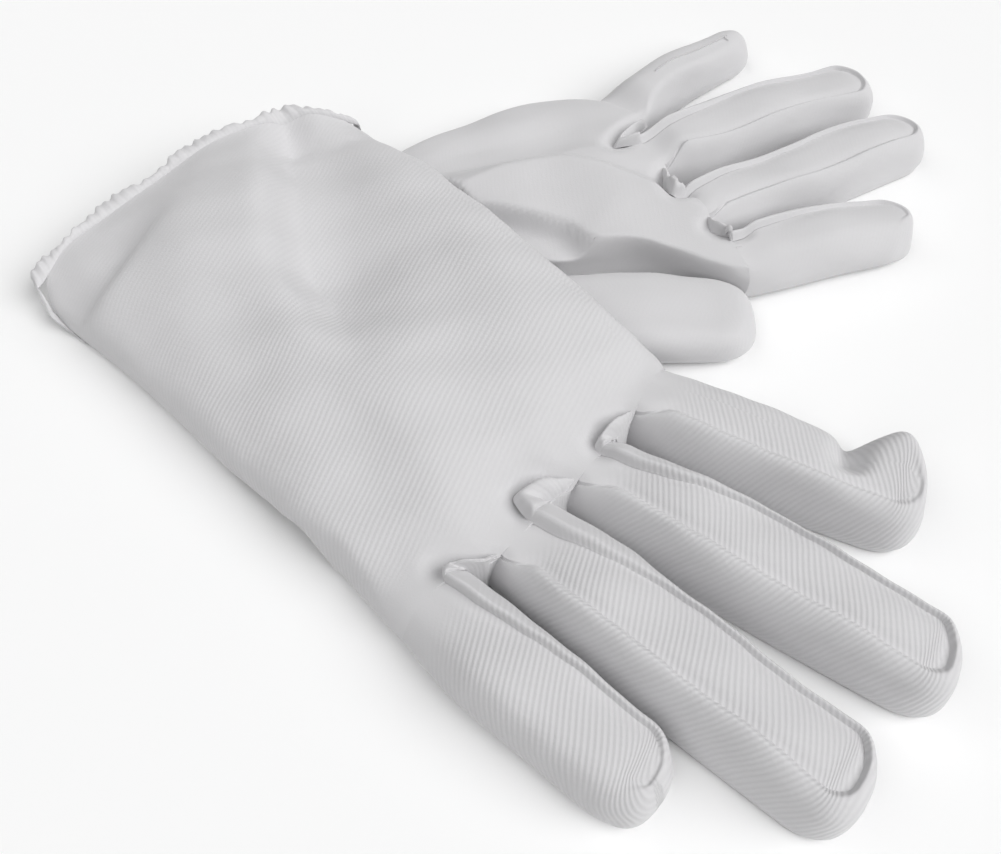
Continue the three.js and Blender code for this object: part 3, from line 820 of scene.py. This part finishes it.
def make_hand(hand, thumb_sides, digits):
    is_right = hand.glove.side > 0
    t = hand_rows()
    insets = ROLL_INSET, ROLL_INSET if is_right else CRISP_INSET
    columns = np.linspace(0, 1, int(2 * CUFF_HALF_WIDTH / HAND_STEP))[None, :]
    c = insets[0] / hand.width(t) * (1 - columns) + (1 - insets[1] / hand.width(t)) * columns
    for name, share in (("back", 1), ("palm", 0)):
        points = hand.point(c, t, share)
        if share == 0:
            points[..., 2] += PALM_RISE
        make_hand_piece(hand, f"hand_{name}", points, t, RIB_TURN)
    for name, is_thumb, places in [("little_side", False, (0, 1))] + thumb_sides:
        t = hand_rows(places)
        profile = CRISP_WALL if is_thumb and not is_right else ROLLED_WALL
        out, rise = curve(profile, np.linspace(0, 1, ROLL_COLUMNS)).T
        reach = insets[int(is_thumb)] / hand.width(t) * (1 - out[None, :])
        points = hand.point(1 - reach if is_thumb else reach, t, rise[None, :])
        make_hand_piece(hand, name, points, t, RIB_TURN if is_thumb else -RIB_TURN)
    make_hem(hand)
    for k, name in enumerate(QUIRKS):
        make_quirk(hand, k, name, digits)


def hem_ripple(length):
    """How an overlocked edge rises and falls along its length: swells, gathers and stitches."""
    swells = np.sin(length / 3.1 + 2 * np.sin(length / 13)) * (0.6 + 0.4 * np.sin(length / 7))
    gathers = np.sin(length / 1.3) / 4
    stitches = 0.4 * np.sin(length / 0.45 + np.sin(length / 5))
    return swells + gathers + stitches


def hem_reach(length):
    """How far an overlocked edge stands out along its length, as a share of its width."""
    return 0.8 + 0.3 * np.sin(length / 4.3 + 1) + 0.08 * np.sin(length / 0.7)


def make_hem(hand):
    """The overlocked edge round the cuff's mouth, rippled by its stretched stitches."""
    glove = hand.glove
    side, corner = 2 - HEM_CORNER, HEM_CORNER
    loop = np.linspace(0, 4, HEM_ROWS)
    parts = [loop < side, loop < 2, loop < 2 + side]
    c = np.select(parts, [loop / side, 1, 1 - (loop - 2) / side], 0)
    share = np.select(parts, [1, 1 - (loop - side) / corner, 0], (loop - 2 - side) / corner)
    base = hand.point(c, 0, share)
    length = np.cumsum(np.linalg.norm(np.diff(base, axis=0, prepend=base[:1]), axis=-1))
    past = np.clip(loop - 2 - side, 0, corner) / corner
    slant = HEM_SLANT * np.sin(np.pi * past) * (glove.side > 0)
    outward = -np.append(glove.along, 0) - slant[:, None] * np.append(glove.across, 0)
    outward = (outward / np.linalg.norm(outward, axis=-1, keepdims=True))[:, None]
    turn = np.linspace(0, 2 * np.pi, HEM_COLUMNS)[None, :]
    reach = HEM_WIDTH / 2 * (1 - np.cos(turn)) * hem_reach(length)[:, None]
    rise = HEM_WALL / 2 * (np.sin(turn) + (share < 0.5)[:, None])
    points = base[:, None, :] + outward * reach[..., None]
    points[..., 2] += rise + HEM_RIPPLE * reach / HEM_WIDTH * hem_ripple(length)[:, None]
    made = piece(f"{glove.prefix}_cuff_hem_cloth", points, base.mean(0), "hem", wall=0, ribs=HEM_RIBS)
    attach(made, glove.body)
    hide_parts(f"{glove.prefix}_cuff_hem")


def make_quirk(hand, k, name, digits):
    """The puckered tuck round a crotch, from the near finger wall to the far finger band."""
    glove, path = hand.glove, hand.tucks[k]
    pair = digits[FINGERS[k]], digits[FINGERS[k + 1]]
    band, wall = pair if glove.side > 0 else pair[::-1]
    first = finger_side(wall)[0 if glove.side > 0 else -1]
    last = finger_side(band)[-1 if glove.side > 0 else 0]
    u = np.linspace(0, 1, len(path))[:, None]
    v = np.linspace(0, 1, QUIRK_COLUMNS)[None, :]
    foot = np.append(path, hand.height(path)[:, None] + 0.15, axis=1)
    inner = first[-1] * (1 - u) + last[-1] * u + np.append(glove.along, 0)
    out, sink = curve(TUCK_WAY, v), curve(TUCK_FOOT, v)
    swell = np.sin(np.pi * u) ** 0.6
    crest = curve(TUCK_CREST, v) * TUCK_RISE * swell
    pucker = PUCKER[glove.prefix] * np.sin(u * 15) * np.sin(np.pi * v) * swell
    points = foot[:, None] * (1 - out[..., None]) + inner[:, None] * out[..., None]
    points[..., 2] = foot[:, 2:] * sink + 0.3 * (1 - sink) + crest + pucker
    ends = (first - points[0])[None] * (1 - smooth(u, 0, 0.3))[..., None]
    ends = ends + (last - points[-1])[None] * smooth(u, 0.72, 1)[..., None]
    points = points + ends
    inside = np.append(path.mean(0), 2)
    made = piece(f"{glove.prefix}_{name}_cloth", points, inside, "knit", ribs=QUIRK_RIBS)
    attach(made, glove.body)
    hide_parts(f"{glove.prefix}_{name}")


def link(tree, start, end):
    tree.links.new(start, end)


def math(tree, operation, first, second=0.0):
    node = tree.nodes.new("ShaderNodeMath")
    node.operation = operation
    for socket, value in zip(node.inputs, (first, second)):
        if isinstance(value, (int, float)):
            socket.default_value = value
        else:
            link(tree, value, socket)
    return node.outputs[0]


def knit_material(name, colour, rib_shade, pitch, depth):
    """Fine ribbed knit with stitches, fuzz and painted shade between the ribs: pitch in millimetres,
    depth in metres.
    """
    material = bpy.data.materials.new(name)
    material.use_nodes = True
    tree = material.node_tree
    shader = tree.nodes["Principled BSDF"]
    shader.inputs["Roughness"].default_value = 0.85
    shader.inputs["Specular IOR Level"].default_value = 0.2
    shader.inputs["Sheen Weight"].default_value = 0.25
    shader.inputs["Sheen Roughness"].default_value = 0.5
    measure = tree.nodes.new("ShaderNodeUVMap")
    measure.uv_map = "knit"
    split = tree.nodes.new("ShaderNodeSeparateXYZ")
    link(tree, measure.outputs[0], split.inputs[0])
    turn = 2 * np.pi / pitch
    rib = math(tree, "SINE", math(tree, "MULTIPLY", split.outputs["Y"], float(turn)))
    stitch = math(tree, "SINE", math(tree, "MULTIPLY", split.outputs["X"], float(turn * 0.8)))
    knit = math(tree, "ADD", math(tree, "MULTIPLY", rib, 0.5), math(tree, "MULTIPLY", stitch, 0.05))
    strength = tree.nodes.new("ShaderNodeAttribute")
    strength.attribute_name = "ribs"
    knit = math(tree, "MULTIPLY", knit, strength.outputs["Fac"])
    fuzz = tree.nodes.new("ShaderNodeTexNoise")
    fuzz.inputs["Scale"].default_value = 2.5
    fuzz.inputs["Detail"].default_value = 4
    link(tree, measure.outputs[0], fuzz.inputs["Vector"])
    height = math(tree, "ADD", knit, math(tree, "MULTIPLY", fuzz.outputs["Fac"], 0.5))
    bump = tree.nodes.new("ShaderNodeBump")
    bump.inputs["Distance"].default_value = depth
    link(tree, height, bump.inputs["Height"])
    link(tree, bump.outputs[0], shader.inputs["Normal"])
    # Painted shade: the colour darkens from the lit threads to the shade in the troughs between the ribs
    ramp = tree.nodes.new("ShaderNodeValToRGB")
    ramp.color_ramp.elements[0].position = 0.0
    ramp.color_ramp.elements[0].color = (*rib_shade, 1)
    ramp.color_ramp.elements[1].position = 1.0
    ramp.color_ramp.elements[1].color = (*colour, 1)
    link(tree, math(tree, "ADD", math(tree, "MULTIPLY", knit, 0.7), 0.6), ramp.inputs[0])
    link(tree, ramp.outputs[0], shader.inputs["Base Color"])
    return material


MATERIALS = {
    "knit": knit_material("knit", *KNIT_COLOURS, pitch=1.1, depth=0.00009),
    "hem": knit_material("hem", *HEM_COLOURS, pitch=1.2, depth=0.00006),
}


def plain_material(name, colour):
    material = bpy.data.materials.new(name)
    material.use_nodes = True
    shader = material.node_tree.nodes["Principled BSDF"]
    shader.inputs["Base Color"].default_value = (*colour, 1)
    shader.inputs["Roughness"].default_value = 0.9
    shader.inputs["Specular IOR Level"].default_value = 0.1
    return material


def make_digits(glove, bases, lengths, widths, height, thumb_height, thumb_bottom):
    digits = {
        name: Digit(glove, name, bases[name], lengths[name], widths[name], height, 0, TIP_RADIUS)
        for name in FINGERS
    }
    digits["thumb"] = Digit(
        glove, "thumb", bases["thumb"], THUMB_LENGTH, THUMB_WIDTH,
        thumb_height, thumb_bottom, THUMB_TIP_RADIUS,
    )
    return digits


def make_left_hand(left, digits):
    def top(place, c, t):
        low = HAND_PUFF * table(LEFT_PUFF, t, c)
        with_fold = low + (folded(place, low) - low) * smooth(t, 0.3, 0.5)
        return np.minimum(with_fold, left.ceiling(place))

    return Hand(left, LEFT_OUTLINE, digits, lambda place: np.zeros(place.shape[:-1]), top)


def make_right_hand(right, digits, left_hand, left_thumb, layer):
    """The hand that lies over the left glove and over its own tucked thumb."""
    def bottom(place):
        rest = np.minimum.reduce([outside(outline, place) for outline in rests_on])
        tucked = np.minimum.reduce([outside(outline, place) for outline in swings])
        over_thumb = layer + TUCKED_THUMB_HEIGHT + GLOVE_GAP
        return np.maximum(layer * fade(rest), over_thumb * fade(tucked))

    def top(place, c, t):
        puff = HAND_PUFF * table(RIGHT_PUFF, t, c) + STACK_RISE * table(RIGHT_RISE, t, c)
        return puff + EDGE_SWELL * (1 - smooth(c, 0.08, 0.3)) * (1 - smooth(t, 0.65, 1))

    rests_on = [hand_outline(left_hand), digit_outline(left_thumb)]
    halves = [-swing * TUCKED_THUMB_SWING / 2 for swing in (0, 1, 2)]
    swings = [digit_outline(digits["thumb"], swing) for swing in halves]
    return Hand(right, RIGHT_OUTLINE, digits, bottom, top)


def join_knuckles(hand, digits):
    """Lets the back of each finger start at the height that the hand's back has at its knuckle."""
    for k, name in enumerate(FINGERS):
        low, high = hand.knots[2 * k], hand.knots[2 * k + 1]
        digits[name].top_at_base = (
            lambda a, low=low, high=high:
            hand.smooth_top(low + (high - low) * (a + 1) / 2, np.ones_like(a))
        )


def make_gloves():
    left, right = Glove("left", *LEFT_PLACE), Glove("right", *RIGHT_PLACE)
    layer = PRESSED_HEIGHT + GLOVE_GAP
    for glove in (left, right):
        glove.ceiling = lambda place: np.full(place.shape[:-1], np.inf)
    digits = {
        left: make_digits(left, LEFT_BASES, LEFT_LENGTHS, LEFT_WIDTHS, LEFT_FINGER_HEIGHT,
                          THUMB_HEIGHT, 0),
        right: make_digits(right, RIGHT_BASES, RIGHT_LENGTHS, RIGHT_WIDTHS, RIGHT_FINGER_HEIGHT,
                           TUCKED_THUMB_HEIGHT - THUMB_ROOM, layer + THUMB_ROOM * 0.3),
    }
    hands = {left: make_left_hand(left, digits[left])}
    hands[right] = make_right_hand(right, digits[right], hands[left], digits[left]["thumb"], layer)
    cover = hand_outline(hands[right])
    left.ceiling = lambda place: PRESSED_HEIGHT + RISE_HEIGHT * smooth(
        outside(cover, place), PRESSED_MARGIN, PRESSED_MARGIN + PRESSED_RAMP)
    for glove, hand in hands.items():
        join_knuckles(hand, digits[glove])
    return hands, digits


def digit_outline(digit, swing=0):
    s = stations(digit, OUTLINE_STEP)
    sides = [digit.point(s, side * digit.half_width(s), 0)[:, :2] for side in (-1, 1)]
    around = np.concatenate([sides[0], sides[1][::-1]]) - digit.base
    turn = radians(swing)
    return around @ np.array([[cos(turn), sin(turn)], [-sin(turn), cos(turn)]]) + digit.base


def hand_outline(hand):
    t = np.linspace(0, 0.9, 10)
    mouth = hand.plan(np.linspace(0, 1, 11), 0) - hand.glove.along * (HEM_WIDTH + MOUTH_MARGIN)
    return np.concatenate([hand.plan(0, t), hand.corners, hand.plan(1, t)[::-1], mouth[::-1]])


def make_floor():
    mesh = bpy.data.meshes.new("floor")
    corners = [(-1, -1), (1, -1), (1, 1), (-1, 1)]
    places = [(x * FLOOR_REACH, y * FLOOR_REACH, -FLOOR_DROP) for x, y in corners]
    mesh.from_pydata(places, [], [(0, 1, 2, 3)])
    floor = bpy.data.objects.new("floor", mesh)
    floor.data.materials.append(plain_material("floor", FLOOR_COLOUR))
    bpy.context.scene.collection.objects.link(floor)


def make_lamps():
    for name, place, power in LAMPS:
        lamp = bpy.data.lights.new(name, "SUN")
        lamp.energy, lamp.angle = power, radians(LAMP_ANGLE)
        made = bpy.data.objects.new(name, lamp)
        made.location = place
        made.rotation_euler = (-made.location).to_track_quat("-Z", "Y").to_euler()
        bpy.context.scene.collection.objects.link(made)


def make_world():
    """A dim white world that the camera, gloss and glass see at full strength."""
    world = bpy.data.worlds.new("studio")
    bpy.context.scene.world = world
    world.use_nodes = True
    tree = world.node_tree
    back = tree.nodes["Background"]
    back.inputs["Color"].default_value = (1, 1, 1, 1)
    rays = tree.nodes.new("ShaderNodeLightPath")
    seen = math(tree, "MAXIMUM", rays.outputs["Is Camera Ray"], rays.outputs["Is Glossy Ray"])
    seen = math(tree, "MAXIMUM", seen, rays.outputs["Is Transmission Ray"])
    strength = math(tree, "ADD", math(tree, "MULTIPLY", seen, 1 - AMBIENT), AMBIENT)
    link(tree, strength, back.inputs["Strength"])


def make_camera():
    data = bpy.data.cameras.new("camera")
    data.lens, data.sensor_width = CAMERA_LENS, CAMERA_SENSOR
    data.clip_start = 0.01
    camera = bpy.data.objects.new("camera", data)
    camera.location = OFFSET + CAMERA_PLACE
    camera.rotation_euler = (radians(CAMERA_TILT), 0, 0)
    bpy.context.scene.collection.objects.link(camera)
    bpy.context.scene.camera = camera


def frame_offset(gloves, digits):
    """From the gloves' own plan to the part's frame in metres, found by one joint's place."""
    joint = next(joint for joint in frame["joints"] if joint["name"] == "right_index_bend")
    right = next(glove for glove in gloves if glove.prefix == "right")
    return np.append(np.array(joint["pos_m"][:2]) - digits[right]["index"].base / 1000, 0)


hands, digits = make_gloves()
OFFSET = frame_offset(hands, digits)
LEFT_SIDES = [("wrist_side", True, (0, THUMB_OPENING[0])), ("web_side", True, (THUMB_OPENING[1], 1))]
RIGHT_SIDES = [("index_side", True, (0, 1))]
for glove, hand in hands.items():
    make_hand(hand, RIGHT_SIDES if glove.side > 0 else LEFT_SIDES, digits[glove])
    for digit in digits[glove].values():
        make_digit(digit)
make_floor()
make_lamps()
make_world()
make_camera()
bpy.context.scene.view_settings.view_transform = "Standard"
